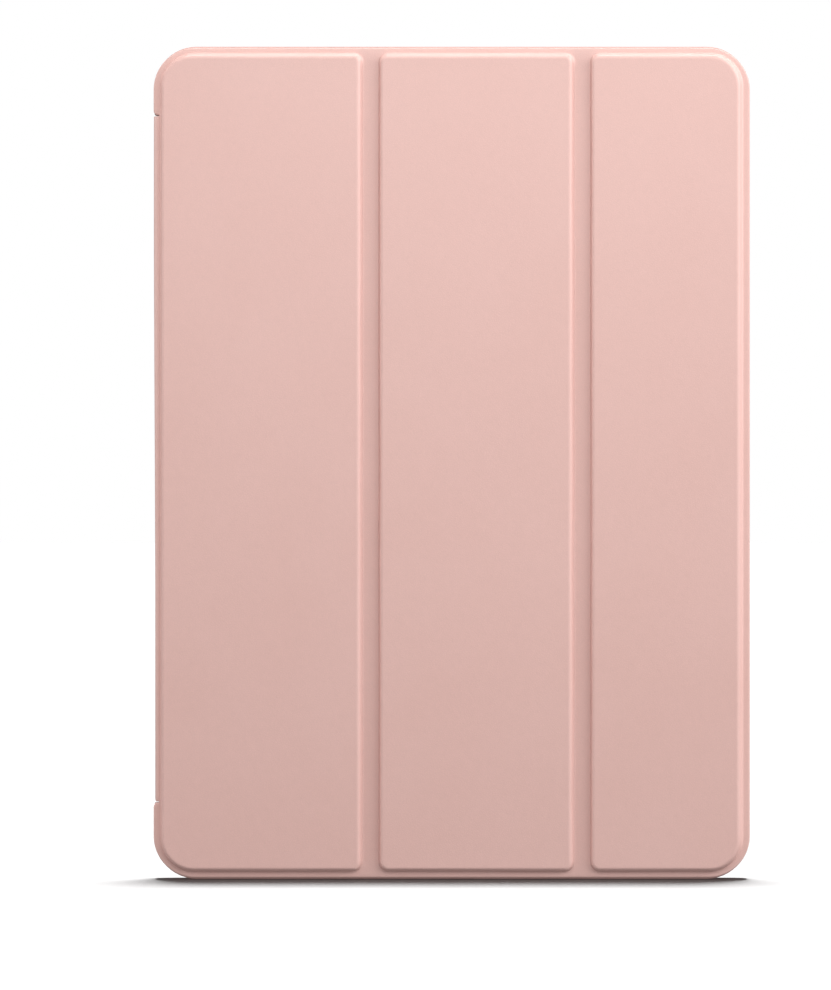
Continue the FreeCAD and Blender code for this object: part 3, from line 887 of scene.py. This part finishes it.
front_path = [(SEAM_S, Y_IN), (-86.25, -3.64), (-86.52, -3.42), (-86.50, -3.10), (-86.10, -2.86), (-85.68, -2.62),
              (-85.52, -2.2), (-85.5, -1.6), (-85.5, -0.8), (-85.5, 0.0), (-85.5, 0.5)]
ls1 = swept("spine_lining_front", mat_lining,
            path_stations(front_path, 0.3, SZ0 + 0.9, SZ1 - 0.9), 0.3, spread(50), end_r=0.15)
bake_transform(ls1)
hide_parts("spine_lining")
back_path = [(-85.5, 0.5), (-85.5, 1.5), (-85.5, 2.6), (-85.5, 3.4), (-85.56, 4.0), (-85.85, 4.42), (-86.32, 4.68),
             (-86.62, 5.0), (-86.68, 5.35), (-86.64, 5.6)]
ls2 = swept("spine_lining_back", mat_lining,
            path_stations(back_path, 0.3, SZ0 + 0.9, SZ1 - 0.9), 0.3, spread(50), end_r=0.15)
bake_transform(ls2)

# ------------------------------------------------------------------ shell ---
src = frame["nodes"]["back_shell"]
me = src.data.copy()
me.name = "shell_moulding"
shell = bpy.data.objects.new("shell_moulding", me)
bpy.context.scene.collection.objects.link(shell)
bm = bmesh.new()
bm.from_mesh(me)
bmesh.ops.remove_doubles(bm, verts=bm.verts, dist=2e-6)
bmesh.ops.dissolve_limit(bm, angle_limit=math.radians(0.6), use_dissolve_boundaries=False, verts=bm.verts, edges=bm.edges)
bm.to_mesh(me)
bm.free()
bev = shell.modifiers.new("edges", "BEVEL")
bev.width = 0.00018
bev.segments = 2
bev.limit_method = "ANGLE"
bev.angle_limit = math.radians(35)
bev.harden_normals = False
bev.use_clamp_overlap = True
bpy.context.view_layer.update()
dg = bpy.context.evaluated_depsgraph_get()
done = bpy.data.meshes.new_from_object(shell.evaluated_get(dg))
shell.modifiers.clear()
shell.data = done
for p in done.polygons:
    p.use_smooth = True
done.set_sharp_from_angle(angle=math.radians(32))
done.materials.clear()
done.materials.append(mat_shell)
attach(shell, "tray")
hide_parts("back_shell")

# ------------------------------------------------------------------ stage ---
floor_me = bpy.data.meshes.new("floor")
S = 14.0
floor_me.from_pydata([(-S, -4.0, 0), (S, -4.0, 0), (S, S, 0), (-S, S, 0)], [], [(0, 1, 2, 3)])
floor = bpy.data.objects.new("floor", floor_me)
bpy.context.scene.collection.objects.link(floor)
floor.location = (0, 0, -0.0002)
fm, fnt, fb = nodes_of("floor_mat")
ft = add(fnt, "ShaderNodeTexCoord")
fn = add(fnt, "ShaderNodeTexNoise", Scale=3.0, Detail=2.0)
fnt.links.new(ft.outputs["Object"], fn.inputs["Vector"])
fr = ramp(fnt, [(0.0, grey(0.24)), (1.0, grey(0.26))], fn.outputs["Fac"])
fnt.links.new(fr.outputs["Color"], fb.inputs["Base Color"])
fb.inputs["Roughness"].default_value = 1.0
fb.inputs["Specular IOR Level"].default_value = 0.0
floor_me.materials.append(fm)
floor.visible_diffuse = False
floor.visible_glossy = False

world = bpy.data.worlds.new("world")
bpy.context.scene.world = world
world.use_nodes = True
wt = world.node_tree
for n in list(wt.nodes):
    wt.nodes.remove(n)
wout = add(wt, "ShaderNodeOutputWorld")
mixs = add(wt, "ShaderNodeMixShader")
lp = add(wt, "ShaderNodeLightPath")
white = add(wt, "ShaderNodeBackground")
white.inputs["Color"].default_value = (1, 1, 1, 1)
white.inputs["Strength"].default_value = 1.0
dim = add(wt, "ShaderNodeBackground")
wc = add(wt, "ShaderNodeTexCoord")
split = add(wt, "ShaderNodeSeparateXYZ")
wt.links.new(wc.outputs["Generated"], split.inputs[0])
side = maths(wt, "MULTIPLY", maths(wt, "ABSOLUTE", split.outputs["X"]), 0.32)
up = maths(wt, "MULTIPLY_ADD", maths(wt, "ABSOLUTE", split.outputs["Z"]), 0.15)
up.node.inputs[2].default_value = 0.085
val = maths(wt, "MAXIMUM", maths(wt, "ADD", side, up), 0.04)
wt.links.new(val, dim.inputs["Strength"])
dim.inputs["Color"].default_value = (1.0, 0.95, 0.95, 1)
wt.links.new(lp.outputs["Is Camera Ray"], mixs.inputs[0])
wt.links.new(dim.outputs[0], mixs.inputs[1])
wt.links.new(white.outputs[0], mixs.inputs[2])
wt.links.new(mixs.outputs[0], wout.inputs["Surface"])


def aim(o, target):
    d = Vector(target) - o.location
    o.rotation_euler = d.to_track_quat("-Z", "Y").to_euler()


def area(name, loc, target, sx, sy, power, color=(1, 1, 1)):
    l = bpy.data.lights.new(name, "AREA")
    l.shape = "RECTANGLE"
    l.size, l.size_y = sx, sy
    l.energy = power
    l.color = color
    o = bpy.data.objects.new(name, l)
    bpy.context.scene.collection.objects.link(o)
    o.location = loc
    aim(o, target)
    return o


def sun(name, energy, angle, back, right, color=(1, 1, 1)):
    l = bpy.data.lights.new(name, "SUN")
    l.energy = energy
    l.angle = math.radians(angle)
    l.color = color
    o = bpy.data.objects.new(name, l)
    bpy.context.scene.collection.objects.link(o)
    o.location = (0.3, 0.3, 2)
    aim(o, (0.3 - 2 * math.tan(math.radians(right)), 0.3 - 2 * math.tan(math.radians(back)), 0))
    return o


floor_sun = sun("overhead_floor", 12.9, 10.2, 7.0, 1.0)
top_sun = sun("overhead_object", 1.9, 30.0, 4.0, 6.0)
key = area("key", (0.02, -0.50, 0.39), (-0.02, 0.0, 0.17), 0.46, 0.36, 1.62, (1.0, 0.99, 0.985))
fill = area("fill", (-0.88, -0.10, 0.42), (0.0, 0.0, 0.17), 0.30, 0.50, 2.7, (1.0, 0.985, 0.98))
side_r = area("side_right", (0.80, -0.62, 0.58), (0.02, 0.0, 0.17), 0.60, 0.60, 3.7)
rim_r = area("rim_right", (0.83, -0.15, 0.46), (0.02, 0.0, 0.17), 0.30, 0.50, 3.5)
low = area("low_front", (0.05, -0.62, 0.05), (0.0, 0.0, 0.02), 0.70, 0.08, 0.08)

# the floor has its own overhead light; the rest light the object only
only = bpy.data.collections.new("object_only")
bpy.context.scene.collection.children.link(only)
for o in bpy.context.scene.objects:
    if o.type == "MESH" and o != floor:
        only.objects.link(o)
ground = bpy.data.collections.new("floor_only")
bpy.context.scene.collection.children.link(ground)
ground.objects.link(floor)
for l in (key, fill, side_r, rim_r, low, top_sun):
    l.light_linking.receiver_collection = only
floor_sun.light_linking.receiver_collection = ground

# ----------------------------------------------------------------- camera ---
cam = bpy.data.cameras.new("camera")
co = bpy.data.objects.new("camera", cam)
bpy.context.scene.collection.objects.link(co)
bpy.context.scene.camera = co
DIST = 2.0
PX = 3.401
co.location = (-0.01067, -0.00655 - DIST, 0.1130)
co.rotation_euler = (math.radians(90), 0, 0)
cam.sensor_fit = "VERTICAL"
cam.sensor_height = 36.0
cam.sensor_width = 36.0
cam.lens = 36.0 * DIST / (990.0 / PX * MM)
cam.clip_start = 0.05
cam.clip_end = 60

scene = bpy.context.scene
scene.view_settings.view_transform = "Standard"
scene.view_settings.look = "None"
scene.view_settings.exposure = 0.0
scene.view_settings.gamma = 1.0
scene.cycles.use_denoising = True
